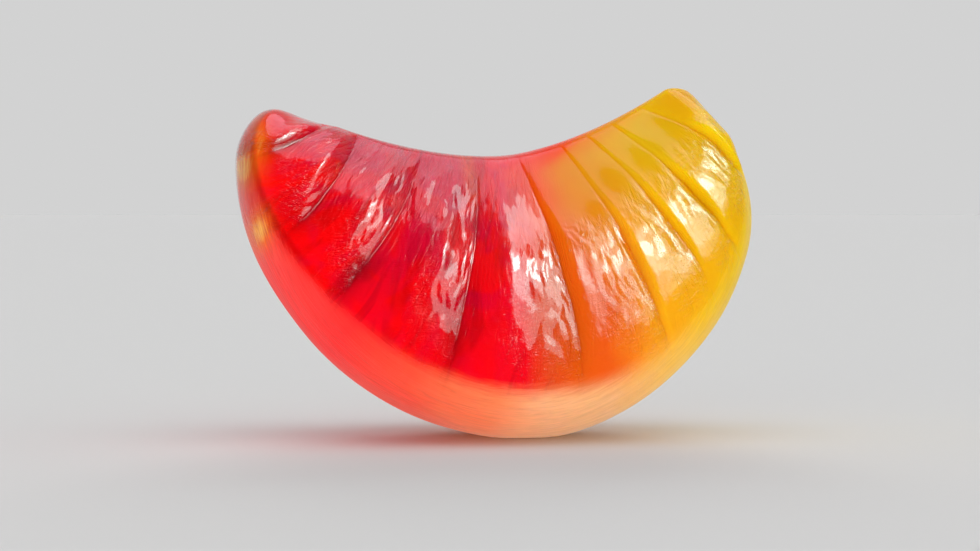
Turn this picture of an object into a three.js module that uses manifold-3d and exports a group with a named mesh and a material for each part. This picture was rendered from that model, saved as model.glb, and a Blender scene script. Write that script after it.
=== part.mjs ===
import * as THREE from 'three';
import * as BufferGeometryUtils from 'three/addons/utils/BufferGeometryUtils.js';
import Module from 'manifold-3d';

// A chewy gummy in the shape of a citrus segment, one solid, standing on its rounded back.
// Millimetres, +Z up. The crescent stands in the XZ plane, the red horn at -X and the yellow horn
// at +X, with the shown face towards -Y and the hidden face, made the same way, towards +Y.
//
// Two numbers give any point of the skin. Along the length, from the red horn's tip at -1 to the
// yellow horn's at 1. Round the section, from the thin inner edge at 0 to the middle of the back at 1.

// The rounded back, seen from the side: an arc about the origin, in degrees from straight down.
const backRadius = 14.4;
const backMiddle = -0.9;
const backSweep = 107.2;
const flattening = { share: 0.081, at: -41, width: 43 };
const yellowCurl = { share: 0.245, from: 73, over: 45 };

// The inner edge, seen from the side: a shallow sag between the horns.
const edgeHalfLength = 10.15;
const edgeSkew = -0.036;
const edgeShift = 0.9;
const edgeLowest = 1.5;
const edgeSag = 3.09;
const edgePower = 1.73;
const edgeTilt = 6.76;

// The horns: the share of the half length over which each rounds off, and how much thinner they get.
const redHornRounding = 0.115;
const yellowHornRounding = 0.1;
const hornThinning = { share: 0.76, power: 1.8 };

// The section halfway along: a wedge with rounded corners and swelling faces.
const sectionHalfWidth = 7.15;

// Its half outline, from the inner edge down: arcs, each up to where its skin faces so many degrees
// above level. They are the inner edge, the face and the fold. A last arc, the back, closes it.
const sectionArcs = [
  { radius: 1.2, until: 44 },
  { radius: 16, until: 12 },
  { radius: 3, until: -50 },
];
const straightDown = -90;

// The creases between the pulp lobes: their place along the length at the inner edge and at the
// fold, how far each bows towards the yellow horn on the way, and how far round the section it runs.
const creases = [
  { atEdge: -0.955, atFold: -0.872, bow: 0, reach: 0.72 },
  { atEdge: -0.793, atFold: -0.668, bow: 0, reach: 0.74 },
  { atEdge: -0.43, atFold: -0.465, bow: 0.035, reach: 0.76 },
  { atEdge: -0.15, atFold: -0.152, bow: 0.02, reach: 0.76 },
  { atEdge: 0.055, atFold: 0.165, bow: 0, reach: 0.72 },
  { atEdge: 0.294, atFold: 0.39, bow: 0, reach: 0.78 },
  { atEdge: 0.434, atFold: 0.543, bow: 0, reach: 0.7 },
  { atEdge: 0.572, atFold: 0.664, bow: 0, reach: 0.76 },
  { atEdge: 0.74, atFold: 0.84, bow: 0, reach: 0.8 },
];

// On the hidden face each crease lies a little off the shown one's place, by this much at most, and
// fully so only between two places round the section.
const hiddenDrift = { most: 0.035, step: 2.4, start: 1, fullFrom: 0.2, fullUntil: 0.7 };

// A lobe: its height over the creases beside it and their depth, at its plumpest place. Narrow lobes
// and their creases are lower, by a power of their share of the full width. All fade out round the
// inner edge.
const lobe = { height: 0.6, fullWidth: 0.17, narrowPower: 1.5 };
const creaseDepth = 0.24;
const smoothEdge = 0.12;

// A lobe's crown: where its crest lies across it, nearer the gummy's middle, and the powers of its
// fall before and past the crest, where a higher one gives a flatter crown with steeper flanks. It
// starts at a share of its height and rises from a second place on. All change over halfway along.
const redCrown = { crest: 0.66, before: 1.7, past: 1.25, startShare: 0.35, startUntil: 0.06 };
const yellowCrown = { crest: 0.15, before: 2.3, past: 1.4, startShare: 0.1, startUntil: 0.28 };
const crownsChange = { from: -0.3, until: 0.3 };

// The plumpest place of a lobe, a share of the way down it: on the red side and in the middle, and
// further down near the yellow horn.
const plumpest = { red: 0.5, yellow: 0.6, from: 0.25, until: 0.5 };

// Slow swellings: of the whole face, and low lumps on the back, in waves along the length.
const faceCrown = 0.15;
const backLumps = { height: 0.1, waves: 7.8, phase: -0.3, crossing: 5.4 };
const smoothHorn = 0.12;

// The small flat that the gummy stands on.
const flatDepth = 0.2;

// How finely the skin is divided: columns across each lobe, and rows on the inner edge, the face,
// the fold and the back.
const columnsPerLobe = 10;
const rowCounts = [3, 13, 6, 5];

function lerp(a, b, share) {
  return a + (b - a) * share;
}

function smoothStep(low, high, value) {
  const share = THREE.MathUtils.clamp((value - low) / (high - low), 0, 1);
  return share * share * (3 - 2 * share);
}

// The arcs of the half section, each with its centre, its angles and its share of the whole length.
function makeSection() {
  const arcs = [];
  let from = Math.PI / 2;
  let across = 0;
  let up = 0;
  for (const { radius, until } of [...sectionArcs, { until: straightDown }]) {
    const arc = { from, until: THREE.MathUtils.degToRad(until) };
    arc.radius = radius ?? across / Math.cos(from);
    arc.across = across - arc.radius * Math.cos(from);
    arc.up = up - arc.radius * Math.sin(from);
    arcs.push(arc);
    from = arc.until;
    across = arc.across + arc.radius * Math.cos(from);
    up = arc.up + arc.radius * Math.sin(from);
  }

  const lengths = arcs.map((arc) => arc.radius * (arc.from - arc.until));
  const total = lengths.reduce((sum, length) => sum + length, 0);
  let start = 0;
  arcs.forEach((arc, index) => {
    arc.start = start;
    start += lengths[index] / total;
    arc.end = start;
  });
  const height = -up;
  return { arcs, height };
}

const section = makeSection();
const [, face, fold] = section.arcs;
const widest = fold.across + fold.radius;

// A point of the half section, as shares of its half width and half height.
function sectionPoint(round) {
  const arc = section.arcs.find((piece) => round <= piece.end) ?? section.arcs.at(-1);
  const angle = lerp(arc.from, arc.until, (round - arc.start) / (arc.end - arc.start));
  const across = arc.across + arc.radius * Math.cos(angle);
  const up = arc.up + arc.radius * Math.sin(angle);
  return [across / widest, 1 + (2 * up) / section.height];
}

// The back's outline: an arc, a little flatter low on the red side and curled in at the yellow horn.
function backPoint(along) {
  const angle = backMiddle + backSweep * along;
  const flat = flattening.share * Math.exp(-(((angle - flattening.at) / flattening.width) ** 2));
  const past = Math.max(0, (angle - yellowCurl.from) / yellowCurl.over);
  const radius = backRadius * (1 - flat - yellowCurl.share * past ** 2);
  const turn = THREE.MathUtils.degToRad(angle);
  return new THREE.Vector2(radius * Math.sin(turn), -radius * Math.cos(turn));
}

// The inner edge's outline: a sagging power curve, tilted up towards the yellow horn.
function edgePoint(along) {
  const across = edgeHalfLength * (along + edgeSkew * (1 - along ** 2));
  const up = edgeLowest + edgeSag * Math.abs(across / edgeHalfLength) ** edgePower;
  const point = new THREE.Vector2(across + edgeShift, up);
  return point.rotateAround(new THREE.Vector2(), THREE.MathUtils.degToRad(edgeTilt));
}

// How far a section has closed towards a horn's tip: 1 along the body, a quarter circle at the tip.
function hornRounding(along) {
  const rounding = along < 0 ? redHornRounding : yellowHornRounding;
  const inside = Math.max(0, 1 - (1 - Math.abs(along)) / rounding);
  return Math.sqrt(Math.max(0, 1 - inside ** 2));
}

// The plain body, without lobes: the section scaled between the back and the inner edge.
function bodyPoint(along, round, side) {
  const [across, up] = sectionPoint(round);
  const closing = hornRounding(along);
  const back = backPoint(along);
  const edge = edgePoint(along);
  const share = (1 + up * closing) / 2;
  const thinning = hornThinning.share * Math.abs(along) ** hornThinning.power;
  const width = sectionHalfWidth * (1 - thinning) * closing;
  return new THREE.Vector3(lerp(back.x, edge.x, share), side * width * across, lerp(back.y, edge.y, share));
}

// The way out of the body at a point, from two short steps over its skin.
function bodyNormal(along, round, side) {
  const step = 0.004;
  const before = bodyPoint(Math.max(along - step, -1), round, side);
  const after = bodyPoint(Math.min(along + step, 1), round, side);
  const above = bodyPoint(along, Math.max(round - step, 0), side);
  const below = bodyPoint(along, Math.min(round + step, 1), side);
  const normal = after.sub(before).cross(above.sub(below));
  return normal.multiplyScalar(-side).normalize();
}

// Where a crease runs: from the inner edge to the fold, less and less slanted, and bowed. On the hidden
// face it drifts, and the drift dies out at the inner edge and on the back, where the two faces meet.
function creasePlace(index, round, side) {
  const crease = creases[index];
  const aboveFold = 1 - Math.min(1, round / fold.start);
  const slanted = lerp(crease.atFold, crease.atEdge, aboveFold ** 2);
  const place = slanted + crease.bow * Math.sin(Math.PI * aboveFold);
  if (side < 0) {
    return place;
  }
  const drift = hiddenDrift.most * Math.sin(hiddenDrift.step * index + hiddenDrift.start);
  const rising = smoothStep(0, hiddenDrift.fullFrom, round);
  const falling = 1 - smoothStep(hiddenDrift.fullUntil, 1, round);
  return place + drift * rising * falling;
}

// The lobe that a column of the skin belongs to, and the creases or horn tips on its two sides.
function lobeAt(column, round, side) {
  const index = Math.min(Math.floor(column / columnsPerLobe), creases.length);
  const start = index > 0 ? creasePlace(index - 1, round, side) : -1;
  const end = index < creases.length ? creasePlace(index, round, side) : 1;
  return { index, start, end };
}

// The place along the length of one column of the skin, with whole columns lying in the creases,
// and columns closing up towards the horn tips.
function columnPlace(column, { index, start, end }) {
  const share = column / columnsPerLobe - index;
  if (index === 0) {
    return lerp(start, end, 1 - Math.cos((share * Math.PI) / 2));
  }
  if (index === creases.length) {
    return lerp(start, end, Math.sin((share * Math.PI) / 2));
  }
  return lerp(start, end, share);
}

// A crown between that of the red side and that of the yellow side.
function mixedCrown(towardsYellow) {
  const keys = Object.keys(redCrown);
  return Object.fromEntries(keys.map((key) => [key, lerp(redCrown[key], yellowCrown[key], towardsYellow)]));
}

// The height of the lobes over the plain body, in millimetres.
function lobeRelief(along, round, { index, start, end }) {
  const share = (along - start) / (end - start);
  const reachBefore = creases[Math.max(index - 1, 0)].reach;
  const reachAfter = creases[Math.min(index, creases.length - 1)].reach;
  const down = Math.min(1, round / lerp(reachBefore, reachAfter, share));
  const plumpestAt = lerp(plumpest.red, plumpest.yellow, smoothStep(plumpest.from, plumpest.until, along));
  const towardsYellow = smoothStep(crownsChange.from, crownsChange.until, along);
  const crown = mixedCrown(towardsYellow);
  const rise = lerp(crown.startShare, 1, smoothStep(crown.startUntil, plumpestAt, down));
  const swelling = rise * (1 - smoothStep(plumpestAt, 1, down)) * smoothStep(0, smoothEdge, round);
  const narrow = Math.min(1, (end - start) / lobe.fullWidth) ** lobe.narrowPower;
  const before = Math.max(0, 1 - share / crown.crest) ** crown.before;
  const past = Math.max(0, (share - crown.crest) / (1 - crown.crest)) ** crown.past;
  return swelling * narrow * (lobe.height * (1 - before - past) - creaseDepth);
}

// A slow swelling of the face, and low lumps on the back.
function broadRelief(along, round) {
  const onFace = THREE.MathUtils.clamp((round - face.start) / (face.end - face.start), 0, 1);
  const swelling = faceCrown * Math.sin(Math.PI * onFace) ** 2;
  const onBack = smoothStep(fold.start, fold.end, round);
  const wave = Math.sin(backLumps.waves * along + backLumps.phase);
  const crossing = Math.cos(backLumps.crossing * along * round);
  return swelling + onBack * backLumps.height * wave * crossing;
}

function skinPoint(column, round, side) {
  const between = lobeAt(column, round, side);
  const along = columnPlace(column, between);
  const point = bodyPoint(along, round, side);
  const fade = smoothStep(0, smoothHorn, 1 - Math.abs(along));
  if (fade === 0) {
    return point;
  }
  const relief = lobeRelief(along, round, between) + broadRelief(along, round);
  return point.addScaledVector(bodyNormal(along, round, side), fade * relief);
}

// The rows round the half section, spaced evenly within each of its arcs.
function rowPlaces() {
  const places = [0];
  section.arcs.forEach((arc, index) => {
    for (let row = 1; row <= rowCounts[index]; row += 1) {
      places.push(lerp(arc.start, arc.end, row / rowCounts[index]));
    }
  });
  return places;
}

// The closed skin: a ring of points for each column, down the shown face and up the hidden one.
function makeSkin() {
  const rows = rowPlaces();
  const last = rows.length - 1;
  const columns = columnsPerLobe * (creases.length + 1);
  const ring = [];
  rows.forEach((round) => ring.push([round, -1]));
  for (let row = last - 1; row > 0; row -= 1) {
    ring.push([rows[row], 1]);
  }

  const positions = [];
  for (let column = 0; column <= columns; column += 1) {
    for (const [round, side] of ring) {
      positions.push(...skinPoint(column, round, side).toArray());
    }
  }
  const triangles = [];
  for (let column = 0; column < columns; column += 1) {
    for (let step = 0; step < ring.length; step += 1) {
      const a = column * ring.length + step;
      const b = column * ring.length + ((step + 1) % ring.length);
      const c = b + ring.length;
      const d = a + ring.length;
      triangles.push(a, b, c, a, c, d);
    }
  }
  const skin = new THREE.BufferGeometry();
  skin.setAttribute('position', new THREE.Float32BufferAttribute(positions, 3));
  skin.setIndex(triangles);
  return skin;
}

function withoutCollapsedTriangles(geometry) {
  const index = geometry.getIndex().array;
  const kept = [];
  for (let i = 0; i < index.length; i += 3) {
    const [a, b, c] = [index[i], index[i + 1], index[i + 2]];
    if (a !== b && b !== c && c !== a) {
      kept.push(a, b, c);
    }
  }
  geometry.setIndex(kept);
  return geometry;
}

function mergedGeometry(geometry) {
  const bare = geometry.clone();
  bare.deleteAttribute('normal');
  bare.deleteAttribute('uv');
  return withoutCollapsedTriangles(BufferGeometryUtils.mergeVertices(bare, 1e-4));
}

const wasm = await Module();
wasm.setup();

function toSolid(geometry) {
  const merged = mergedGeometry(geometry);
  const vertProperties = new Float32Array(merged.getAttribute('position').array);
  const triVerts = new Uint32Array(merged.getIndex().array);
  return new wasm.Manifold(new wasm.Mesh({ numProp: 3, vertProperties, triVerts }));
}

function toGeometry(solid) {
  const mesh = solid.getMesh();
  const geometry = new THREE.BufferGeometry();
  geometry.setAttribute('position', new THREE.Float32BufferAttribute(mesh.vertProperties, 3));
  geometry.setIndex(Array.from(mesh.triVerts));
  return geometry;
}

// Cuts the lowest sliver off the back, so that the gummy stands on a small flat.
function cutFlat(geometry) {
  geometry.computeBoundingBox();
  const { min, max } = geometry.boundingBox;
  const size = 2 * (max.x - min.x);
  const block = new THREE.BoxGeometry(size, size, size);
  block.translate(0, 0, min.z + flatDepth - size / 2);
  return toGeometry(toSolid(geometry).subtract(toSolid(block)));
}

// Stands the gummy on the floor, centred over the origin.
function standOnFloor(geometry) {
  geometry.computeBoundingBox();
  const { min, max } = geometry.boundingBox;
  geometry.translate(-(min.x + max.x) / 2, -(min.y + max.y) / 2, -min.z);
  return geometry;
}

function makeGummy() {
  const material = new THREE.MeshStandardMaterial({ color: 0xe2261c, roughness: 0.25, metalness: 0 });
  const gummy = new THREE.Mesh(standOnFloor(cutFlat(makeSkin())), material);
  gummy.name = 'gummy';
  return gummy;
}

const part = new THREE.Group();
part.add(makeGummy());

export default part;
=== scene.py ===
import math
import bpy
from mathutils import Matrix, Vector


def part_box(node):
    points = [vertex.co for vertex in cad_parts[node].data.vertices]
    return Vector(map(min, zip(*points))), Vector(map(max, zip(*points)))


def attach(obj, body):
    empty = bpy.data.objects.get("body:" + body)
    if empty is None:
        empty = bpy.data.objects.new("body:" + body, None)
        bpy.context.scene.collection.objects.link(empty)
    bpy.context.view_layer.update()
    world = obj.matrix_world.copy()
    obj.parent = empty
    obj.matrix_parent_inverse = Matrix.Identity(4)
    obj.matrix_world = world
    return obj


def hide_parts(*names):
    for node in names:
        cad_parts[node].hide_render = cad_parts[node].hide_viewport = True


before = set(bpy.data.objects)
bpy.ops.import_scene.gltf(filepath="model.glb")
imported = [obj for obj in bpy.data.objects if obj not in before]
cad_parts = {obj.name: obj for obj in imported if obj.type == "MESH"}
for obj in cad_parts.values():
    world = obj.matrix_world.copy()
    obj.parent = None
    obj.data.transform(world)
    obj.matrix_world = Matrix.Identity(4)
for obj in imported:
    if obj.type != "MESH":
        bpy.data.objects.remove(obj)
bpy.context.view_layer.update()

from types import SimpleNamespace

import bpy
import numpy as np
from mathutils import Vector

# A citrus-segment gummy on a pale floor. The plain solid from the frame is replaced by a finer skin
# of the same form, with the wrinkles of the pulp, and gets its colours and gloss here.
# Shapes are worked out in millimetres and turned into metres when the mesh is made.
# Along is a place from -1 at the red horn to 1 at the yellow horn. Round is a place on the section, from 0
# at the inner edge to 1 at the middle of the back. Down is a share of the way from the inner edge to the
# end of a lobe. Pairs of values are from and to, or for the red side and the yellow side.

mm = 0.001


# camera
camera = {
    "azimuth": -8.5,            # degrees round from straight in front, towards the red horn
    "elevation": 1.5,
    "distance": 129,            # mm to the point aimed at
    "lens": 86.5,
    "aim": (-0.3, 0.05, 8.79),  # mm, a point inside the gummy
    "clip": (0.005, 200),       # metres to the nearest and furthest thing drawn
}


def viewDirection(azimuth, elevation):
    # the unit vector from the target towards a viewer: azimuth 0 is at -Y, positive goes towards +X
    a, e = math.radians(azimuth), math.radians(elevation)
    return Vector((math.sin(a) * math.cos(e), -math.cos(a) * math.cos(e), math.sin(e)))


def makeCamera(settings):
    data = bpy.data.cameras.new("camera")
    data.lens = settings["lens"]
    data.clip_start, data.clip_end = settings["clip"]
    obj = bpy.data.objects.new("camera", data)
    bpy.context.collection.objects.link(obj)
    back = viewDirection(settings["azimuth"], settings["elevation"])
    aim = Vector(settings["aim"]) * mm
    obj.location = aim + back * settings["distance"] * mm
    obj.rotation_euler = back.to_track_quat("Z", "Y").to_euler()
    bpy.context.scene.camera = obj


makeCamera(camera)
print("camera placed")


# gummy: shape, in millimetres and degrees
gummyShape = {
    # the back's arc, in degrees from straight down: flatter low on the red side, and the yellow horn is
    # curled in
    "backRadius": 14.4, "backMiddle": -0.9, "backSweep": 107.2,
    "flatShare": 0.081, "flatAt": -41, "flatWidth": 43,
    "curlShare": 0.245, "curlFrom": 73, "curlOver": 45,

    # the sagging inner edge, and how much of either end is rounded off
    "edgeHalfLength": 10.15, "edgeSkew": -0.036, "edgeShift": 0.9,
    "edgeLowest": 1.5, "edgeSag": 3.09, "edgePower": 1.73, "edgeTilt": 6.76,
    "redRounding": 0.115, "yellowRounding": 0.1,

    # the thickness, most halfway along; the section's arcs, each with its radius and the degrees above
    # level that the skin faces at its end
    "halfWidth": 7.15, "hornThinning": 0.76, "thinningPower": 1.8,
    "sectionArcs": ((1.2, 44), (16, 12), (3, -50)),

    # the creases: where along they lie at the inner edge and at the fold, how far they bow outwards on the
    # way, how far round they reach, and how they drift on the hidden face, clear of its seams
    "creaseAtEdge": (-0.955, -0.793, -0.43, -0.15, 0.055, 0.294, 0.434, 0.572, 0.74),
    "creaseAtFold": (-0.872, -0.668, -0.465, -0.152, 0.165, 0.39, 0.543, 0.664, 0.84),
    "creaseBow": (0, 0, 0.035, 0.02, 0, 0, 0, 0, 0),
    "creaseReach": (0.72, 0.74, 0.76, 0.76, 0.72, 0.78, 0.7, 0.76, 0.8),
    "driftMost": 0.035, "driftStep": 2.4, "driftStart": 1, "driftFull": (0.2, 0.7),
    "creaseDepth": 0.24,

    # the lobes: their height, less by a power where they are narrower than the full width; how much of it
    # they start with, until how far down, and where they are plumpest
    "lobeHeight": 0.6, "fullWidth": 0.17, "narrowPower": 1.5,
    "startShare": (0.35, 0.1), "startUntil": (0.06, 0.28),
    "plumpest": (0.5, 0.6), "plumpestOver": (0.25, 0.5),

    # their crests: where between two creases, and the powers by which they fall before and past it; red
    # side turns into yellow side over crestOver either way of the middle
    "crestAt": (0.66, 0.15), "lobePower": (1.7, 2.3), "lobePowerPast": (1.25, 1.4), "crestOver": 0.3,
    "smoothEdge": 0.12, "smoothHorn": 0.12,     # how far from the inner edge and the horns they come in

    # the swelling of the face, the low lumps of the back and the flat that the gummy stands on
    "faceCrown": 0.15, "lumpHeight": 0.1, "lumpWaves": 7.8, "lumpPhase": -0.3, "lumpCrossing": 5.4,
    "flatDepth": 0.2,

    # the grid: columns along, crowding towards the creases, and rows on inner edge, face, fold and back
    "columns": 430, "fewestColumns": 12, "crowding": 0.4, "rows": (6, 76, 20, 12),
}

# what the plain solid leaves out, in millimetres; layer and seed choose where in the noise a wrinkle is
gummyWrinkles = {
    # the creases wander by this share of the length
    "wobble": {"share": 0.005, "waves": 7, "creaseStep": 3.7, "faceStep": 1.5, "layer": 9, "seed": 3},

    # grooves in the creases, shown from this far round and fading before the lobes end, and raised rims
    # beside them, low on the yellow side alone
    "grooveDepth": 0.02, "grooveWidth": 0.1, "grooveFrom": (0.02, 0.1), "grooveFade": 0.16,
    "rimHeight": 0.03, "rimAt": 0.36, "rimWidth": 0.15, "rimsFrom": (0.3, 0.55), "yellowSide": (0, 0.3),

    "uneven": 0.12, "unevenStep": 3.7,      # lobes differ in height by this share
    "dents": {"width": 3.2, "length": 3.8, "height": 0.07, "layer": 50, "seed": 13},
    "folds": {"width": 1.2, "length": 2.6, "height": 0.1, "lean": 0.3, "layer": 50, "seed": 11},
    "crumples": {"width": 0.5, "length": 1.4, "height": 0.06, "lean": -0.3, "layer": 50, "seed": 12},
    "bend": {"width": 2.5, "length": 2.5, "height": 0.6, "layer": 20, "seed": 5},
    "backDents": {"width": 4.5, "length": 1.6, "height": 0.05, "layer": 50, "seed": 14},
    "valley": 0.15,                         # the noise's value at the bottom of a fold
    "wrinklesFrom": (0.03, 0.2),            # places round

    # a stretch beside one crease of each lobe is smooth until these shares of its width, and keeps this
    # much; but not high up, mostly on the red side, and the yellow side is smooth high up all over
    "smoothShare": ((0.42, 0.66), (0.2, 0.6)), "smoothLeft": 0.2,
    "highUp": (0.3, 0.5), "highUpLess": 0.7, "yellowFrom": (0.32, 0.55),

    # low domes: where along and how many mm down, how wide and long in mm, and how high
    "domes": ((0.85, 4.8, 1.3, 1.0, 0.3),),
    "across": 22,                           # mm for a unit along, halfway down a face
    "layerDepth": 3,                        # mm through the gummy for a layer of the noise
}

# where colours, painted shade and fine relief go: shares down, or places along
gummyMasks = {
    "pleatedDown": (0.3, 0.5), "ringedDown": (0.25, 0.45), "lowEndDown": (0.35, 0.65), "lowEndUntil": 0.88,
    "shadeWedgeDown": (0.4, 0.8), "orangeShadeWedgeLess": 0.7,
    "orangeAlong": (-0.1, 0.15), "redHornAlong": (-0.75, -0.45),
    "farthest": 5,                          # mm from a crease

    # the back's band: about its middle value its edge is softer on the yellow side by this factor, and it
    # is narrower by these amounts on the yellow side and at the red horn
    "bandMiddle": 0.6, "yellowSlope": 0.6, "yellowNarrower": 0.12,
    "hornNarrower": 0.62, "hornAlong": (-1, -0.4),
}

# painted glow, where light gathers inside the jelly: x and z of each spot, its reach across and up in
# millimetres, and how much of the glow's colour it has
gummyPaintedGlow = (
    (-13.0, 16.2, 0.5, 1.5, 0.6), (-13.9, 14.6, 0.55, 1.0, 1.1), (-13.0, 11.3, 0.5, 1.0, 1.0),
    (-1.7, 14.3, 0.4, 1.7, 0.3),
)

# the noise's random slopes: primes that mix a corner's three numbers and the seed, one more and two shifts
# that scramble the mix, and the bits that the mix and each slope take; the last value brings the heights
# to about -1 to 1
noiseSettings = {
    "primes": (73856093, 19349663, 83492791, 2654435761), "scramble": 1274126177, "shifts": (13, 16),
    "mixBits": 32, "slopeBits": 10, "height": 1.6,
}


def lerp(a, b, share):
    return a + (b - a) * share


def smoothStep(low, high, value):
    # 0 below low and 1 above high, with the cubic ease curve between
    share = np.clip((value - low) / (high - low), 0, 1)
    return share * share * (3 - 2 * share)


def noise(x, y, z, seed):
    # smooth random field of about -1 to 1: at each corner of a whole-number lattice a random slope, its
    # height blended with those of the cell's other seven corners by the fifth-power ease curve
    n = noiseSettings
    low = [np.floor(v).astype(np.int64) for v in (x, y, z)]
    part = [v - i for v, i in zip((x, y, z), low)]
    ease = [f * f * f * (f * (f * 6 - 15) + 10) for f in part]
    px, py, pz, ps = n["primes"]
    firstShift, secondShift = n["shifts"]
    mostMix, mostSlope = (2 ** n[key] - 1 for key in ("mixBits", "slopeBits"))
    total = 0
    for corner in np.ndindex(2, 2, 2):
        xi, yi, zi = (i + c for i, c in zip(low, corner))
        h = xi * px ^ yi * py ^ zi * pz ^ seed * ps
        h = (h ^ (h >> firstShift)) * n["scramble"] & mostMix
        h = h ^ (h >> secondShift)
        height, weight = 0, 1
        for axis in range(3):
            slope = ((h >> (n["slopeBits"] * axis)) & mostSlope) / (mostSlope / 2) - 1
            height = height + slope * (part[axis] - corner[axis])
            weight = weight * (ease[axis] if corner[axis] else 1 - ease[axis])
        total = total + weight * height
    return n["height"] * total


def halfSection(s):
    # the half outline of the section, inner edge to middle of the back, as a function of the share of its
    # length: arcs, each up to where the skin faces so many degrees above level, and one that closes it;
    # gives shares of the half width and half height, and the shares where the arcs end
    start, across, up = math.pi / 2, 0, 0
    arcs = []
    for radius, until in s["sectionArcs"] + ((None, -90),):
        radius = radius or across / math.cos(start)
        end = math.radians(until)
        centre = across - radius * math.cos(start), up - radius * math.sin(start)
        arcs.append((centre, radius, start, end))
        start, across, up = end, centre[0] + radius * math.cos(end), centre[1] + radius * math.sin(end)
    lengths = np.array([radius * (start - end) for centre, radius, start, end in arcs])
    ends = np.concatenate([[0], np.cumsum(lengths) / lengths.sum()])
    height = -up
    widest = arcs[2][0][0] + arcs[2][1]     # where the fold's arc faces sideways

    def point(rounds):
        index = np.clip(np.searchsorted(ends, rounds, side="left") - 1, 0, len(arcs) - 1)
        cx, cy = (np.array([arc[0][k] for arc in arcs])[index] for k in (0, 1))
        radius, start, end = (np.array([arc[k] for arc in arcs])[index] for k in (1, 2, 3))
        angle = lerp(start, end, (rounds - ends[index]) / (ends[index + 1] - ends[index]))
        return (cx + radius * np.cos(angle)) / widest, 1 + 2 * (cy + radius * np.sin(angle)) / height

    return point, ends


def bodyPoints(s, sectionPoint, along, rounds, sides):
    # a section scaled to reach from the back's outline to the inner edge's, and rounded off at the horns
    angle = s["backMiddle"] + s["backSweep"] * along
    flat = s["flatShare"] * np.exp(-(((angle - s["flatAt"]) / s["flatWidth"]) ** 2))
    past = np.maximum(0, (angle - s["curlFrom"]) / s["curlOver"])
    radius = s["backRadius"] * (1 - flat - s["curlShare"] * past ** 2)
    turn = np.radians(angle)
    backX, backZ = radius * np.sin(turn), -radius * np.cos(turn)

    across = s["edgeHalfLength"] * (along + s["edgeSkew"] * (1 - along ** 2))
    rise = s["edgeLowest"] + s["edgeSag"] * np.abs(across / s["edgeHalfLength"]) ** s["edgePower"]
    tilt = math.radians(s["edgeTilt"])
    edgeX = (across + s["edgeShift"]) * math.cos(tilt) - rise * math.sin(tilt)
    edgeZ = (across + s["edgeShift"]) * math.sin(tilt) + rise * math.cos(tilt)

    rounding = np.where(along < 0, s["redRounding"], s["yellowRounding"])
    inside = np.maximum(0, 1 - (1 - np.abs(along)) / rounding)
    closing = np.sqrt(np.maximum(0, 1 - inside ** 2))
    out, up = sectionPoint(rounds)
    share = (1 + up * closing) / 2
    width = s["halfWidth"] * (1 - s["hornThinning"] * np.abs(along) ** s["thinningPower"]) * closing
    return np.stack([lerp(backX, edgeX, share), sides * width * out, lerp(backZ, edgeZ, share)], -1)


def bodyNormals(s, sectionPoint, along, rounds, sides):
    # the cross product of two short steps over the skin, pointing out; also mm for each unit along
    step, tiny = 0.004, 1e-12
    a0, a1 = np.maximum(along - step, -1), np.minimum(along + step, 1)
    r0, r1 = np.maximum(rounds - step, 0), np.minimum(rounds + step, 1)
    backward, forward = (bodyPoints(s, sectionPoint, a, rounds, sides) for a in (a0, a1))
    upper, lower = (bodyPoints(s, sectionPoint, along, r, sides) for r in (r0, r1))
    alongStep, roundStep = forward - backward, upper - lower
    normal = np.cross(alongStep, roundStep) * -sides[..., None]
    length = np.linalg.norm(normal, axis=-1, keepdims=True)
    perUnit = np.linalg.norm(alongStep, axis=-1) / (a1 - a0)
    return normal / np.maximum(length, tiny), perUnit


def downDistance(points, rowCount):
    # the way over the skin from the inner edge, in millimetres: sums of the steps down either face
    closed = np.concatenate([points, points[:, :1]], 1)
    steps = np.linalg.norm(np.diff(closed, axis=1), axis=-1)
    shown = np.concatenate([np.zeros((len(points), 1)), np.cumsum(steps[:, :rowCount - 1], 1)], 1)
    hidden = np.cumsum(steps[:, :rowCount - 2:-1], 1)[:, -2::-1]
    return np.concatenate([shown, hidden], 1)


def gridPlaces(s, ends):
    # places of all points: rows down the shown face and up the hidden one, by columns along the length;
    # whole columns lie in the creases, so that these stay sharp, and the others crowd towards them
    rows = np.concatenate([[0]] + [
        lerp(ends[i], ends[i + 1], np.arange(1, count + 1) / count) for i, count in enumerate(s["rows"])
    ])
    rounds = np.concatenate([rows, rows[-2:0:-1]])
    sides = np.concatenate([-np.ones(len(rows)), np.ones(len(rows) - 2)])

    creases = (np.array(s["creaseAtEdge"]) + np.array(s["creaseAtFold"])) / 2
    last = len(creases)
    widths = np.diff(np.concatenate([[-1], creases, [1]]))
    perLobe = np.maximum(s["fewestColumns"], np.round(s["columns"] * widths / 2).astype(int))
    lobe = np.concatenate([np.full(n, i) for i, n in enumerate(perLobe)] + [[last]])
    share = np.concatenate([np.arange(n) / n for n in perLobe] + [[1.0]])
    crowded = share - s["crowding"] * np.sin(2 * np.pi * share) / (2 * np.pi)
    share = np.where(lobe == 0, 1 - np.cos(share * np.pi / 2), crowded)
    share = np.where(lobe == last, np.sin(crowded * np.pi / 2), share)

    lobe, rounds = np.meshgrid(lobe, rounds, indexing="ij")
    share, sides = np.meshgrid(share, sides, indexing="ij")
    return SimpleNamespace(lobe=lobe, share=share, rounds=rounds, sides=sides, last=last)


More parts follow.
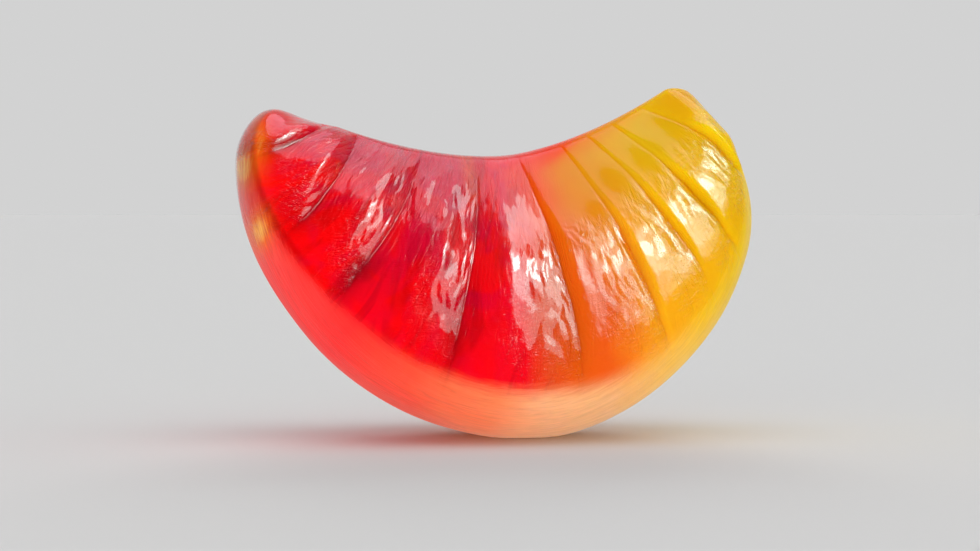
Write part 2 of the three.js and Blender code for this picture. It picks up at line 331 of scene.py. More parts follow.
def creasePlace(s, wobble, at, ends, index):
    # from the inner edge to the fold less and less slanted, by a square, and bowed by half a wave; it
    # wanders a little, and drifts on the hidden face; before the first and past the last are the horns
    atEdge, atFold, bow = (np.array(s[key]) for key in ("creaseAtEdge", "creaseAtFold", "creaseBow"))
    safe = np.clip(index, 0, at.last - 1)
    overFace = np.minimum(1, at.rounds / ends[2])
    place = lerp(atFold[safe], atEdge[safe], (1 - overFace) ** 2) + bow[safe] * np.sin(np.pi * overFace)
    drift = np.where(at.sides > 0, s["driftMost"] * np.sin(s["driftStep"] * safe + s["driftStart"]), 0)
    layer = at.sides * wobble["faceStep"] + wobble["layer"]
    wander = noise(at.rounds * wobble["waves"], safe * wobble["creaseStep"], layer, wobble["seed"])
    fullFrom, fullUntil = s["driftFull"]
    clearOfSeams = smoothStep(0, fullFrom, at.rounds) * (1 - smoothStep(fullUntil, 1, at.rounds))
    place = place + (drift + wobble["share"] * wander) * clearOfSeams
    return np.where(index < 0, -1, np.where(index >= at.last, 1, place))


def lobeRelief(s, w, at):
    # rounded crowns between the creases: they rise from the inner edge, are plumpest low down, and fall by
    # a power of the way from the crest to the crease; gives how much lobe there is, its level and relief
    plumpest = lerp(*s["plumpest"], smoothStep(*s["plumpestOver"], at.along))
    rising = smoothStep(lerp(*s["startUntil"], at.towardsYellow), plumpest, at.down)
    rise = lerp(lerp(*s["startShare"], at.towardsYellow), 1, rising)
    lobed = rise * (1 - smoothStep(plumpest, 1, at.down)) * smoothStep(0, s["smoothEdge"], at.rounds)
    narrow = np.minimum(1, at.width / s["fullWidth"]) ** s["narrowPower"]
    height = s["lobeHeight"] * narrow * (1 + w["uneven"] * np.sin(w["unevenStep"] * at.lobe + at.sides))
    crest = lerp(*s["crestAt"], at.towardsYellow)
    before = np.maximum(0, 1 - at.share / crest) ** lerp(*s["lobePower"], at.towardsYellow)
    past = np.maximum(0, (at.share - crest) / (1 - crest)) ** lerp(*s["lobePowerPast"], at.towardsYellow)
    level = lobed * height * (1 - before - past)
    return lobed, level, level - lobed * s["creaseDepth"] * narrow


def bodyRelief(s, at, ends):
    # the face swells by the square of half a wave, and the back has low lumps, one wave along by another
    onFace = np.clip((at.rounds - ends[1]) / (ends[2] - ends[1]), 0, 1)
    swelling = s["faceCrown"] * np.sin(np.pi * onFace) ** 2
    wave, crossing = s["lumpWaves"] * at.along + s["lumpPhase"], s["lumpCrossing"] * at.along * at.rounds
    return swelling + at.onBack * s["lumpHeight"] * np.sin(wave) * np.cos(crossing)


def grooveRelief(w, at):
    # narrow grooves in the creases and raised rims beside them, both bells over the distance to the crease
    groove = w["grooveDepth"] * np.exp(-((at.toCrease / w["grooveWidth"]) ** 2))
    rim = w["rimHeight"] * np.exp(-(((at.toCrease - w["rimAt"]) / w["rimWidth"]) ** 2))
    return at.creaseShown * (at.yellowSide * smoothStep(*w["rimsFrom"], at.down) * rim - groove)


def wrinklyShare(w, at):
    # how much of the wrinkles shows: less on each lobe's smooth stretch, none high up on the yellow side
    smoothFrom, smoothTo = (lerp(red, yellow, at.towardsYellow) for red, yellow in zip(*w["smoothShare"]))
    highUp = (1 - smoothStep(*w["highUp"], at.down)) * (1 - w["highUpLess"] * at.towardsYellow)
    shown = np.maximum(smoothStep(smoothFrom, smoothTo, at.share), highUp)
    yellowShown = smoothStep(*w["yellowFrom"], at.down)
    return lerp(w["smoothLeft"], 1, shown) * lerp(1, yellowShown, at.towardsYellow)


def wrinkled(field, u, v, layer):
    # smooth noise stretched to the field's width and length; the layers keep the two faces apart
    return noise(u / field["width"], v / field["length"], layer + field["layer"], field["seed"])


def wrinkleRelief(w, at):
    # plump folds with sharp valleys between that run down the lobes, shallow dents, and low domes: the
    # folds are how far the noise is from a middle value, and the domes are bells over the distance
    u = at.along * w["across"]
    bend = w["bend"]["height"] * wrinkled(w["bend"], u, at.downMm, at.layer)

    def folded(field):
        value = wrinkled(field, u + bend, at.downMm + field["lean"] * u, at.layer)
        return field["height"] * np.abs(value - w["valley"])

    fine = at.wrinkly * (folded(w["folds"]) + folded(w["crumples"]))
    fine = fine + w["dents"]["height"] * wrinkled(w["dents"], u, at.downMm, at.layer)
    backDents = w["backDents"]["height"] * wrinkled(w["backDents"], u, at.overBack, at.layer)
    relief = smoothStep(*w["wrinklesFrom"], at.rounds) * lerp(fine, backDents, at.onBack)
    for along, down, width, length, height in w["domes"]:
        offAlong, offDown = (at.along - along) * w["across"] / width, (at.downMm - down) / length
        relief += height * np.exp(-(offAlong ** 2) - offDown ** 2)
    return relief


def skinMasks(m, at, lobed, level, fade):
    # what the material reads at each point: places, distances, and 0 to 1 where a colour, painted shade or
    # a relief goes
    orangeOn = smoothStep(*m["orangeAlong"], at.along)
    band = m["bandMiddle"] + (at.onBack - m["bandMiddle"]) * lerp(1, m["yellowSlope"], at.yellowSide)
    band = band - m["yellowNarrower"] * at.yellowSide
    band = band - m["hornNarrower"] * (1 - smoothStep(*m["hornAlong"], at.along))
    # painted shade in wedges low in the creases, off the back and weaker on the orange side
    shadeWedge = smoothStep(*m["shadeWedgeDown"], at.down) * (1 - at.onBack) * (1 - m["orangeShadeWedgeLess"] * orangeOn)
    lowEnd = smoothStep(*m["lowEndDown"], at.down) * (1 - smoothStep(m["lowEndUntil"], 1, at.down))
    pleated = at.creaseShown * at.yellowSide * smoothStep(*m["pleatedDown"], at.down)
    return {
        "along": at.along, "down": at.downMm, "overBack": at.overBack, "round": at.rounds,
        "toCrease": np.minimum(at.toCrease, m["farthest"]), "level": level * fade,
        "wrinkly": at.wrinkly, "creased": at.creaseShown * fade, "pleated": pleated * fade,
        "ringed": lobed * fade * smoothStep(*m["ringedDown"], at.down),
        "lowEnd": lowEnd * fade, "creaseEndShade": shadeWedge * fade, "onBack": band,
        "orangeOn": orangeOn, "yellowSide": at.yellowSide,
        "redHorn": 1 - smoothStep(*m["redHornAlong"], at.along),
    }


def makeGummySkin(s, w, m):
    # the body's points, moved out along its normals by the relief; with them the masks
    sectionPoint, ends = halfSection(s)
    at = gridPlaces(s, ends)
    start, end = (creasePlace(s, w["wobble"], at, ends, at.lobe + i) for i in (-1, 0))
    at.width = end - start
    at.along = lerp(start, end, at.share)
    body = bodyPoints(s, sectionPoint, at.along, at.rounds, at.sides)
    normals, perUnit = bodyNormals(s, sectionPoint, at.along, at.rounds, at.sides)

    reach = np.array(s["creaseReach"])
    nearest = (np.clip(at.lobe + i, 0, at.last - 1) for i in (-1, 0))
    lobeReach = lerp(*(reach[index] for index in nearest), at.share)
    at.down = np.minimum(1, at.rounds / lobeReach)
    at.towardsYellow = smoothStep(-s["crestOver"], s["crestOver"], at.along)
    at.yellowSide = smoothStep(*w["yellowSide"], at.along)
    at.onBack = smoothStep(ends[2], ends[3], at.rounds)

    # the horns' own ends are no creases, and there the other end of the lobe is the nearest one
    toStart, toEnd = np.where(at.lobe > 0, at.share, 1), np.where(at.lobe < at.last, 1 - at.share, 1)
    at.toCrease = np.minimum(toStart, toEnd) * at.width * perUnit
    fading = smoothStep(lobeReach - w["grooveFade"], lobeReach, at.rounds)
    at.creaseShown = smoothStep(*w["grooveFrom"], at.rounds) * (1 - fading)

    rowCount = sum(s["rows"]) + 1
    at.downMm = downDistance(body, rowCount)
    at.overBack = at.sides * (at.downMm[:, rowCount - 1, None] - at.downMm)     # mm from the back's middle
    at.layer = body[..., 1] / w["layerDepth"]
    at.wrinkly = wrinklyShare(w, at)

    lobed, level, lobes = lobeRelief(s, w, at)
    relief = lobes + bodyRelief(s, at, ends) + grooveRelief(w, at) + wrinkleRelief(w, at)
    fade = smoothStep(0, s["smoothHorn"], 1 - np.abs(at.along))
    return body + normals * (fade * relief)[..., None], skinMasks(m, at, lobed, level, fade)


def placeOnFlat(points, s, box):
    # flattens the lowest sliver, and puts the grid where the solid stands
    low, high = points.min((0, 1)), points.max((0, 1))
    points[..., 2] = np.maximum(points[..., 2], low[2] + s["flatDepth"])
    centre = (np.array(box[0]) + np.array(box[1])) / 2 / mm
    shift = centre - (low + high) / 2
    shift[2] = box[0][2] / mm - (low[2] + s["flatDepth"])
    return points + shift


def meshFromGrid(name, points, masks):
    # columns of rings: every ring closes on itself, and the end rings shrink to one point each
    columns, ring = points.shape[:2]
    inner = points[1:-1].reshape(-1, 3)
    tips = np.stack([points[0].mean(0), points[-1].mean(0)])
    verts = np.concatenate([inner, tips]) * mm
    gaps = columns - 3      # between the rings that stay whole
    i = np.arange(gaps)[:, None] * ring
    j = np.arange(ring)[None]
    k = (j + 1) % ring
    quads = np.stack([i + j, i + k, i + ring + k, i + ring + j], -1).reshape(-1, 4)
    last = gaps * ring
    first, final = len(inner), len(inner) + 1
    ringNow, ringNext = np.arange(ring), (np.arange(ring) + 1) % ring
    startFan = np.stack([np.full(ring, first), ringNext, ringNow], -1)
    endFan = np.stack([np.full(ring, final), last + ringNow, last + ringNext], -1)

    loops = np.concatenate([quads.ravel(), startFan.ravel(), endFan.ravel()])
    sizes = np.concatenate([np.full(len(quads), 4), np.full(2 * ring, 3)])
    starts = np.concatenate([[0], np.cumsum(sizes)[:-1]])
    mesh = bpy.data.meshes.new(name)
    mesh.vertices.add(len(verts))
    mesh.vertices.foreach_set("co", verts.astype(np.float32).ravel())
    mesh.loops.add(len(loops))
    mesh.loops.foreach_set("vertex_index", loops.astype(np.int32))
    mesh.polygons.add(len(sizes))
    mesh.polygons.foreach_set("loop_start", starts.astype(np.int32))
    mesh.update(calc_edges=True)
    mesh.polygons.foreach_set("use_smooth", np.ones(len(sizes), bool))
    for key, mask in masks.items():
        attribute = mesh.attributes.new(key, "FLOAT", "POINT")
        ends = [mask[0].mean(), mask[-1].mean()]
        attribute.data.foreach_set("value", np.concatenate([mask[1:-1].ravel(), ends]).astype(np.float32))
    mesh.validate()
    obj = bpy.data.objects.new(name, mesh)
    bpy.context.collection.objects.link(obj)
    return obj


def paintedGlowOver(points, spots):
    # how much of the painted glow's colour the spots give: soft ellipses seen from the front
    total = np.zeros(points.shape[:2])
    for x, z, across, up, most in spots:
        total += most * np.exp(-(((points[..., 0] - x) / across) ** 2) - ((points[..., 2] - z) / up) ** 2)
    return np.minimum(1, total)


points, masks = makeGummySkin(gummyShape, gummyWrinkles, gummyMasks)
points = placeOnFlat(points, gummyShape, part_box("gummy"))
masks["paintedGlow"] = paintedGlowOver(points, gummyPaintedGlow)
gummy = meshFromGrid("gummySkin", points, masks)
print("gummy skin:", len(gummy.data.polygons), "faces")


# gummy: colours and gloss
jellyLook = {
    # colours as seen on screen, each with its place along; the upper face's are darker and the lower face's
    # lighter, partly the jelly's own tone and partly painted shade high up and painted light low down, and
    # the back's pale band is partly its own matt skin and partly painted glow of light through the jelly
    "upper": (
        (-1.0, (226, 16, 38)), (-0.8, (224, 2, 30)), (-0.56, (224, 0, 26)), (-0.3, (224, 0, 26)),
        (-0.15, (228, 18, 28)), (-0.05, (234, 26, 24)), (0.13, (236, 88, 4)), (0.25, (229, 136, 8)),
        (0.4, (226, 155, 16)), (0.52, (227, 170, 12)), (0.65, (222, 178, 16)), (0.85, (224, 172, 10)),
        (1.0, (226, 168, 10)),
    ),
    "lower": (
        (-1.0, (222, 34, 20)), (-0.88, (244, 10, 4)), (-0.7, (250, 0, 4)), (-0.4, (244, 0, 6)),
        (-0.1, (240, 0, 14)), (0.03, (242, 10, 22)), (0.1, (228, 80, 30)), (0.16, (230, 94, 10)),
        (0.24, (232, 94, 20)), (0.32, (246, 138, 28)), (0.38, (248, 162, 24)), (0.47, (247, 176, 16)),
        (0.62, (244, 182, 6)), (0.72, (234, 182, 10)), (0.86, (238, 192, 14)), (1.0, (236, 190, 14)),
    ),
    "back": (
        (-1.0, (210, 92, 84)), (-0.85, (244, 112, 76)), (-0.72, (244, 80, 70)), (-0.6, (250, 58, 54)),
        (-0.4, (248, 44, 42)), (-0.22, (244, 78, 52)), (-0.05, (242, 130, 82)), (0.1, (238, 172, 124)),
        (0.26, (238, 184, 126)), (0.38, (244, 192, 84)), (0.48, (250, 198, 30)), (0.6, (252, 206, 6)),
        (0.8, (248, 208, 4)), (1.0, (240, 194, 10)),
    ),
    "upperToLower": (0.2, 0.45),                            # places round
    "cloud": {"scale": 220, "detail": 2, "shift": 0.07},    # clouds of colour shift along

    # the inner edge has its colours from further back along, until this place round
    "edgeShift": -0.12, "yellowEdgeShift": -0.16, "edgeShiftUntil": 0.12,

    # the back's band, its ragged edge and the streak of painted shade along the fold before it at the red
    # horn:
    # values of the mask
    "band": (0.4, 0.85), "ragged": 0.22, "yellowRagged": 0.5, "foldShade": 0.35, "foldShadeFrom": 0.15,

    # the painted glow at half strength and in full, and how the strands vary it: times and plus
    "paintedGlow": ((240, 100, 16), (255, 190, 90)), "glowStrands": (1.4, 0.2),

    # crimson patches and streaks of painted shade on the red side, each from one value of its noise to
    # another;
    # the crimson is weaker low down, over these places round
    "crimson": (206, 0, 58), "crimsonMost": 0.6, "crimsonFrom": (0.42, 0.62),
    "crimsonRound": (0.35, 0.6), "crimsonLow": 0.4,
    "crimsonAt": {"width": 3.0, "length": 3.4, "turn": 20, "detail": 2, "twist": 1.0},
    "paintedShadeStreaks": {"width": 1.5, "length": 4.5, "turn": -6, "detail": 2, "twist": 1.0},
    "paintedStreakShade": 0.2, "paintedStreakFrom": (0.48, 0.68),

    # painted shade: dark wedges where the creases end, and dark creases, in millimetres
    "wedgeShade": 0.3, "wedgeWidth": 0.6,
    "creaseShade": 0.85, "creaseWidth": 0.1, "yellowCreaseFade": 0.7, "creaseRound": (0.12, 0.3),

    "roughness": {"face": 0.12, "back": 0.5}, "mottle": {"scale": 900, "detail": 3, "height": 0.05},
    "coat": {"red": 1.0, "yellow": 0.62, "yellowHigh": 0.15, "round": (0.2, 0.35), "roughness": 0.07},
    "ior": 1.33,
    "scatter": {"weight": 0.8, "radius": (1.0, 0.6, 0.2), "depth": 0.003},

    # fine relief, in millimetres
    "crumple": {"width": 0.36, "length": 1.3, "turn": 12, "detail": 2, "twist": 1.2, "height": 0.07},
    "crinkle": {"width": 0.17, "length": 0.26, "turn": -34, "detail": 1, "twist": 1.0, "height": 0.036},
    "lines": {"width": 0.7, "length": 2.6, "turn": -8, "detail": 1, "twist": 0.8, "height": 0.06,
              "sharp": 0.07},
    "crepe": {"width": 0.8, "length": 0.26, "turn": 10, "detail": 1, "twist": 1.2, "height": 0.035,
              "sharp": 0.12},
    "patches": {"width": 2.2, "length": 2.8, "turn": 30, "detail": 1, "twist": 0.5},
    "patchesFrom": (0.35, 0.6), "patchesRelief": (0.6, 1.1),
    "pebble": {"width": 0.16, "length": 0.16, "turn": 38, "detail": 1, "height": 0.01},
    "striae": {"width": 1.6, "length": 0.16, "turn": 3, "detail": 3, "twist": 0.6, "height": 0.02},
    "strands": {"width": 2.0, "length": 0.25, "turn": 3, "detail": 4, "twist": 1.5, "height": 0.3},
    "contour": 0.01, "contourEvery": 0.085,
    "contourDrift": {"width": 0.9, "length": 0.9, "detail": 1, "height": 9},
    "pleat": 0.008, "pleatEvery": 0.27, "pleatFade": 1.6,
    "valley": 0.46,                                         # the noise's value in the valleys
    "noiseRoughness": 0.55,
}


def addNode(tree, kind, settings=None, **inputs):
    # a shader node with its settings; an input takes a number or another node's output, and _0 is the first
    node = tree.nodes.new("ShaderNode" + kind)
    for key, value in (settings or {}).items():
        setattr(node, key, value)
    for key, value in inputs.items():
        socket = node.inputs[int(key[1:]) if key[0] == "_" else key]
        if isinstance(value, bpy.types.NodeSocket):
            tree.links.new(value, socket)
        else:
            socket.default_value = value
    return node


def calc(tree, operation, *values):
    # one step of arithmetic on numbers or outputs
    inputs = {f"_{i}": value for i, value in enumerate(values)}
    return addNode(tree, "Math", {"operation": operation}, **inputs).outputs[0]


def product(tree, *values):
    # all the numbers or outputs multiplied
    total = values[0]
    for value in values[1:]:
        total = calc(tree, "MULTIPLY", total, value)
    return total


def bell(tree, distance, width):
    # 1 at no distance, then e to minus the square of the distance in widths
    share = calc(tree, "DIVIDE", distance, width)
    return calc(tree, "EXPONENT", product(tree, share, share, -1))


def smoothRange(tree, value, low, high, atLow=0, atHigh=1):
    # one number up to low and another from high on, with the cubic ease curve between
    settings = {"interpolation_type": "SMOOTHSTEP"}
    return addNode(tree, "MapRange", settings, _0=value, _1=low, _2=high, _3=atLow, _4=atHigh).outputs[0]


def srgb(r, g, b):
    # a colour as seen on screen, 0 to 255, as linear light: the standard curve, straight near black
    shades = (c / 255 for c in (r, g, b))
    return tuple(((c + 0.055) / 1.055) ** 2.4 if c > 0.04045 else c / 12.92 for c in shades) + (1,)


def addRamp(tree, place, stops):
    # a colour ramp along the gummy, from -1 to 1
    spread = calc(tree, "MULTIPLY_ADD", place, 0.5, 0.5)
    ramp = addNode(tree, "ValToRGB", _0=spread)
    elements = ramp.color_ramp.elements
    for element, (at, colour) in zip(elements, (stops[0], stops[-1])):
        element.position, element.color = (at + 1) / 2, srgb(*colour)
    for at, colour in stops[1:-1]:
        elements.new((at + 1) / 2).color = srgb(*colour)
    return ramp.outputs[0]


def mixColour(tree, factor, first, second):
    return addNode(tree, "Mix", {"data_type": "RGBA"}, _0=factor, _6=first, _7=second).outputs[2]


def mask(tree, name):
    # one of the masks that the skin carries
    return addNode(tree, "Attribute", {"attribute_name": name}).outputs["Fac"]


def noiseOver(tree, vector, scale, detail, roughness=0.5, twist=0):
    node = addNode(tree, "TexNoise", Vector=vector, Scale=scale, Detail=detail, Roughness=roughness,
                   Distortion=twist)
    return node.outputs["Fac"]


def centred(tree, value):
    # a noise of 0 to 1, as -0.5 to 0.5
    return calc(tree, "SUBTRACT", value, 0.5)


def cloudsOf(tree, field):
    # an even noise through the gummy
    place = addNode(tree, "TexCoord").outputs["Object"]
    return centred(tree, noiseOver(tree, place, field["scale"], field["detail"]))


def fieldAt(tree, look, name):
    # noise over the skin, turned and stretched to the field's width and length, and halfway between two of
    # its layers, where its lattice doesn't show; strands and striae are measured from the back's middle
    field = look[name]
    down = mask(tree, "overBack" if name in ("strands", "striae") else "down")
    alongMm = calc(tree, "MULTIPLY", mask(tree, "along"), gummyWrinkles["across"])
    over = addNode(tree, "CombineXYZ", _0=alongMm, _1=down, _2=0.5).outputs[0]
    turn = (0, 0, math.radians(field.get("turn", 0)))
    turned = addNode(tree, "Mapping", Vector=over, Rotation=turn).outputs[0]
    size = (1 / field["width"], 1 / field["length"], 1)
    place = addNode(tree, "VectorMath", {"operation": "MULTIPLY"}, _0=turned, _1=size).outputs[0]
    return noiseOver(tree, place, 1, field["detail"], look["noiseRoughness"], field.get("twist", 0))


def pulpColour(tree, look, border):
    # a ramp for the upper face, one for the lower face and one for the back, all shifted by clouds; the
    # darker upper ramp holds painted shade, and the lighter lower and back ramps painted light, beside
    # their own colours
    clouds, shift = cloudsOf(tree, look["cloud"]), 2 * look["cloud"]["shift"]
    cloudy = calc(tree, "MULTIPLY_ADD", clouds, shift, mask(tree, "along"))
    byEdge = smoothRange(tree, mask(tree, "round"), 0, look["edgeShiftUntil"], 1, 0)
    shifts = (look["yellowEdgeShift"], look["edgeShift"])
    edgeShift = calc(tree, "MULTIPLY_ADD", mask(tree, "yellowSide"), *shifts)
    upperPlace = calc(tree, "MULTIPLY_ADD", byEdge, edgeShift, cloudy)
    upper, lower = addRamp(tree, upperPlace, look["upper"]), addRamp(tree, cloudy, look["lower"])
    face = mixColour(tree, smoothRange(tree, mask(tree, "round"), *look["upperToLower"]), upper, lower)
    return mixColour(tree, border, face, addRamp(tree, cloudy, look["back"]))


def addCrimson(tree, look, colour, onRed):
    # crimson patches, strongest high up on the red side
    field = fieldAt(tree, look, "crimsonAt")
    patches = smoothRange(tree, field, *look["crimsonFrom"], 0, look["crimsonMost"])
    highUp = smoothRange(tree, mask(tree, "round"), *look["crimsonRound"], 1, look["crimsonLow"])
    return mixColour(tree, product(tree, patches, highUp, onRed), colour, srgb(*look["crimson"]))


def addPaintedGlow(tree, look, colour, strands):
    # the painted glowing spots, varied by the strands: the first colour up to half strength, and then the
    # second
    times, plus = look["glowStrands"]
    paintedGlow = calc(tree, "MULTIPLY", mask(tree, "paintedGlow"), calc(tree, "MULTIPLY_ADD", strands, times, plus))
    weak = calc(tree, "MINIMUM", calc(tree, "MULTIPLY", paintedGlow, 2), 1)
    strong = calc(tree, "MINIMUM", calc(tree, "MAXIMUM", calc(tree, "MULTIPLY_ADD", paintedGlow, 2, -1), 0), 1)
    glowColour = mixColour(tree, strong, *(srgb(*stop) for stop in look["paintedGlow"]))
    return mixColour(tree, weak, colour, glowColour)


def jellyShade(tree, look, strands, band, border, onRed):
    # how light the colour is: strands on the back, and painted shade: in the creases, in a streak along the
    # fold at the red horn, in streaks down the red lobes, and in wedges where the creases end
    strand = calc(tree, "MULTIPLY", centred(tree, strands), border)
    strand = calc(tree, "MULTIPLY_ADD", strand, 2 * look["strands"]["height"], 1)

    # painted shade in the creases, from a little way down and weaker on the yellow side
    toCrease = mask(tree, "toCrease")
    bySide = calc(tree, "MULTIPLY_ADD", mask(tree, "yellowSide"), -look["yellowCreaseFade"], 1)
    lowDown = smoothRange(tree, mask(tree, "round"), *look["creaseRound"])
    valley = bell(tree, toCrease, look["creaseWidth"])
    inCrease = product(tree, valley, mask(tree, "creased"), bySide, lowDown)
    creaseShadeFactor = calc(tree, "MULTIPLY_ADD", inCrease, look["creaseShade"] - 1, 1)

    # painted shade in a streak along the fold, just before the back's band at the red horn
    beforeBand = smoothRange(tree, band, look["foldShadeFrom"], look["band"][0])
    foldShade = calc(tree, "MULTIPLY", calc(tree, "SUBTRACT", beforeBand, border), mask(tree, "redHorn"))
    foldShade = calc(tree, "MULTIPLY_ADD", foldShade, -look["foldShade"], 1)

    # painted shade in streaks down the red lobes, and in wedges where the creases end
    shadeStreak = smoothRange(tree, fieldAt(tree, look, "paintedShadeStreaks"), *look["paintedStreakFrom"])
    shadeStreak = product(tree, shadeStreak, onRed, look["paintedStreakShade"])
    shadeWedge = bell(tree, toCrease, look["wedgeWidth"])
    shadeWedge = product(tree, shadeWedge, mask(tree, "creaseEndShade"), look["wedgeShade"])
    clear = calc(tree, "SUBTRACT", calc(tree, "SUBTRACT", 1, shadeStreak), shadeWedge)
    return product(tree, strand, creaseShadeFactor, foldShade, clear)


def jellyRelief(tree, look, border):
    # in millimetres: on the face crumples with sharp valleys down the lobes, crepe across their low ends,
    # contour lines round them and pleats beside the creases; on the back fine striae
    def cracks(name):
        # sharp valleys: how far the noise is from its value there
        away = calc(tree, "SUBTRACT", fieldAt(tree, look, name), look["valley"])
        return calc(tree, "MULTIPLY", calc(tree, "ABSOLUTE", away), 2 * look[name]["height"])

    def grooves(name):
        # narrow grooves: bells over how far the noise is from its value in the valleys
        away = calc(tree, "SUBTRACT", fieldAt(tree, look, name), look["valley"])
        return calc(tree, "MULTIPLY", bell(tree, away, look[name]["sharp"]), -look[name]["height"])

    drift = calc(tree, "MULTIPLY", fieldAt(tree, look, "contourDrift"), look["contourDrift"]["height"])
    rings = calc(tree, "MULTIPLY_ADD", mask(tree, "level"), 2 * math.pi / look["contourEvery"], drift)
    ring = product(tree, calc(tree, "SINE", rings), mask(tree, "ringed"), look["contour"])
    toCrease = mask(tree, "toCrease")
    pleats = calc(tree, "MULTIPLY", toCrease, 2 * math.pi / look["pleatEvery"])
    pleatFade = calc(tree, "EXPONENT", calc(tree, "MULTIPLY", toCrease, -look["pleatFade"]))
    pleat = product(tree, calc(tree, "SINE", pleats), pleatFade, mask(tree, "pleated"), look["pleat"])
    crepe = product(tree, grooves("crepe"), mask(tree, "lowEnd"), mask(tree, "wrinkly"))

    face = calc(tree, "MULTIPLY", fieldAt(tree, look, "pebble"), 2 * look["pebble"]["height"])
    for layer in (cracks("crumple"), cracks("crinkle"), grooves("lines")):
        face = calc(tree, "ADD", face, layer)
    patches = fieldAt(tree, look, "patches")
    patchy = smoothRange(tree, patches, *look["patchesFrom"], *look["patchesRelief"])
    face = product(tree, face, mask(tree, "wrinkly"), patchy)
    for layer in (crepe, ring, pleat):
        face = calc(tree, "ADD", face, layer)
    striae = calc(tree, "MULTIPLY", fieldAt(tree, look, "striae"), 2 * look["striae"]["height"])
    return addNode(tree, "Mix", _0=border, _2=face, _3=striae).outputs[0]


def jellyGloss(tree, look, border):
    # the roughness, clear on the face and matter on the back with a mottle, and the coat, on the face alone
    # and weaker on the yellow side, most of all high up
    roughness, coat = look["roughness"], look["coat"]
    base = addNode(tree, "MapRange", _0=border, _3=roughness["face"], _4=roughness["back"]).outputs[0]
    mottle = cloudsOf(tree, look["mottle"])
    rough = calc(tree, "MULTIPLY_ADD", mottle, 2 * look["mottle"]["height"], base)
    less = (coat["yellowHigh"] - coat["red"], coat["yellow"] - coat["red"])
    yellowLess = smoothRange(tree, mask(tree, "round"), *coat["round"], *less)
    coated = calc(tree, "MULTIPLY_ADD", mask(tree, "yellowSide"), yellowLess, coat["red"])
    return rough, calc(tree, "MULTIPLY", calc(tree, "SUBTRACT", 1, border), coated)


def makeJelly(look):
    material = bpy.data.materials.new("jelly")
    material.use_nodes = True
    tree = material.node_tree
    shader = tree.nodes["Principled BSDF"]

    # the back's band, ragged by the strands and less so on the yellow side; its border is 0 on the face
    strands = fieldAt(tree, look, "strands")
    bySide = calc(tree, "MULTIPLY_ADD", mask(tree, "yellowSide"), look["yellowRagged"] - 1, 1)
    ragged = calc(tree, "MULTIPLY", centred(tree, strands), look["ragged"])
    band = calc(tree, "MULTIPLY_ADD", ragged, bySide, mask(tree, "onBack"))
    border = smoothRange(tree, band, *look["band"])
    onRed = calc(tree, "SUBTRACT", 1, calc(tree, "MAXIMUM", border, mask(tree, "orangeOn")))

    colour = addCrimson(tree, look, pulpColour(tree, look, border), onRed)
    colour = addPaintedGlow(tree, look, colour, strands)
    shade = jellyShade(tree, look, strands, band, border, onRed)
    shaded = addNode(tree, "VectorMath", {"operation": "SCALE"}, _0=colour, Scale=shade)
    bump = addNode(tree, "Bump", Strength=1.0, Distance=mm, Height=jellyRelief(tree, look, border))
    rough, coated = jellyGloss(tree, look, border)
    tree.links.new(shaded.outputs[0], shader.inputs["Base Color"])
    tree.links.new(bump.outputs[0], shader.inputs["Normal"])
    tree.links.new(rough, shader.inputs["Roughness"])
    tree.links.new(coated, shader.inputs["Coat Weight"])
    shader.inputs["Coat Roughness"].default_value = look["coat"]["roughness"]
    shader.inputs["IOR"].default_value = look["ior"]
    shader.inputs["Subsurface Weight"].default_value = look["scatter"]["weight"]
    shader.inputs["Subsurface Radius"].default_value = look["scatter"]["radius"]
    shader.inputs["Subsurface Scale"].default_value = look["scatter"]["depth"]
    return material


gummy.data.materials.append(makeJelly(jellyLook))
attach(gummy, "root")
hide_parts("gummy")
print("gummy coloured")


# floor and light
studio = {
    "floorSize": 60,                    # metres
    "floorColour": (0.61, 0.61, 0.61),
    "skyColour": (0.645, 0.645, 0.645),

    # the sky as light, and as gloss in front and behind, where the backdrop comes in over these values of
    # the direction's Y
    "skyLight": 0.45, "skyGloss": 0.02, "backdropGloss": 0.645, "backdropFrom": (0.1, 1.0),

    # each light: where from in degrees, how strong, how wide in degrees, and whether it shows as gloss
    # alone or as plain light alone
    "lights": {
        "key": {"azimuth": 42, "elevation": 46, "strength": 0.8, "angle": 13, "diffuse": False,
                "colour": (0.55, 1.0, 0.96)},
        "keyWide": {"azimuth": 42, "elevation": 42, "strength": 1.1, "angle": 29, "diffuse": False,
                    "colour": (0.55, 1.0, 0.96)},
        "keyLow": {"azimuth": 40, "elevation": 26, "strength": 0.7, "angle": 32, "diffuse": False,
                   "colour": (0.55, 1.0, 0.96)},
        "keyHigh": {"azimuth": 72, "elevation": 62, "strength": 0.55, "angle": 24, "diffuse": False,
                    "colour": (0.6, 1.0, 0.96)},
        "overhead": {"azimuth": 115, "elevation": 77, "strength": 0.9, "angle": 52, "diffuse": False,
                     "colour": (1.0, 0.78, 0.95)},
        "softKey": {"azimuth": 40, "elevation": 45, "strength": 0.4, "angle": 60, "gloss": False},
        "softTop": {"azimuth": -20, "elevation": 80, "strength": 0.85, "angle": 60, "gloss": False},
        "front": {"azimuth": -20, "elevation": 1, "strength": 0.95, "angle": 60, "gloss": False},
        "right": {"azimuth": 95, "elevation": -5, "strength": 0.65, "angle": 60, "gloss": False},
        "below": {"azimuth": -10, "elevation": -35, "strength": 1.7, "angle": 60, "gloss": False},
        "behind": {"azimuth": 170, "elevation": 25, "strength": 1.5, "angle": 40, "gloss": False},
    },
}


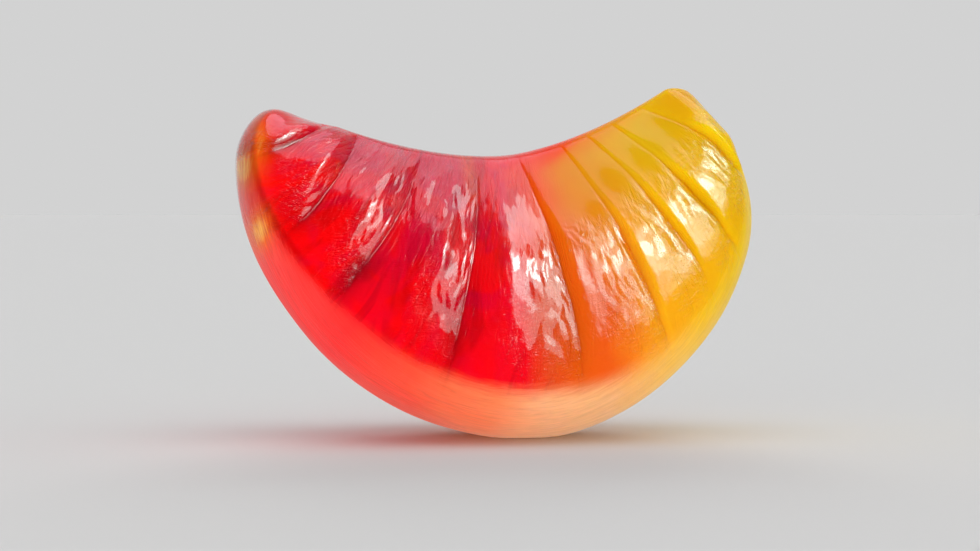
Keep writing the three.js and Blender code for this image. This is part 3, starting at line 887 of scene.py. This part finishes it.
def makeFloor(settings):
    # a square of matt floor that neither shows as gloss nor throws a shadow
    half = settings["floorSize"] / 2
    corners = [(-half, -half, 0), (half, -half, 0), (half, half, 0), (-half, half, 0)]
    mesh = bpy.data.meshes.new("floor")
    mesh.from_pydata(corners, [], [(0, 1, 2, 3)])
    obj = bpy.data.objects.new("floor", mesh)
    bpy.context.collection.objects.link(obj)
    material = bpy.data.materials.new("floorPaint")
    material.use_nodes = True
    shader = material.node_tree.nodes["Principled BSDF"]
    shader.inputs["Base Color"].default_value = settings["floorColour"] + (1,)
    shader.inputs["Roughness"].default_value = 1.0
    shader.inputs["Specular IOR Level"].default_value = 0.0
    mesh.materials.append(material)
    obj.visible_glossy = False
    obj.visible_shadow = False


def makeSun(name, settings):
    data = bpy.data.lights.new(name, "SUN")
    data.energy = settings["strength"]
    data.angle = math.radians(settings["angle"])
    data.color = settings.get("colour", (1, 1, 1))
    obj = bpy.data.objects.new(name, data)
    bpy.context.collection.objects.link(obj)
    back = viewDirection(settings["azimuth"], settings["elevation"])
    obj.rotation_euler = back.to_track_quat("Z", "Y").to_euler()
    obj.visible_glossy = settings.get("gloss", True)
    obj.visible_diffuse = settings.get("diffuse", True)


def makeSky(settings):
    # a plain sky: one shade for the camera and another as light; reflections see the dim studio in front
    # and the light backdrop behind
    world = bpy.data.worlds.new("studio")
    bpy.context.scene.world = world
    world.use_nodes = True
    tree = world.node_tree
    seen = tree.nodes["Background"]
    seen.inputs["Color"].default_value = settings["skyColour"] + (1,)
    lit = addNode(tree, "Background", Color=(1, 1, 1, 1), Strength=settings["skyLight"])
    direction = addNode(tree, "SeparateXYZ", _0=addNode(tree, "TexCoord").outputs["Generated"])
    shades = (settings["skyGloss"], settings["backdropGloss"])
    gloss = smoothRange(tree, direction.outputs["Y"], *settings["backdropFrom"], *shades)
    mirrored = addNode(tree, "Background", Color=(1, 1, 1, 1), Strength=gloss)
    rays = addNode(tree, "LightPath").outputs
    unseen = addNode(tree, "MixShader", _0=rays["Is Glossy Ray"], _1=lit.outputs[0], _2=mirrored.outputs[0])
    sky = addNode(tree, "MixShader", _0=rays["Is Camera Ray"], _1=unseen.outputs[0], _2=seen.outputs[0])
    tree.links.new(sky.outputs[0], tree.nodes["World Output"].inputs["Surface"])


makeFloor(studio)
makeSky(studio)
for lightName, light in studio["lights"].items():
    makeSun(lightName, light)
bpy.context.scene.view_settings.view_transform = "Standard"
print("studio lit")
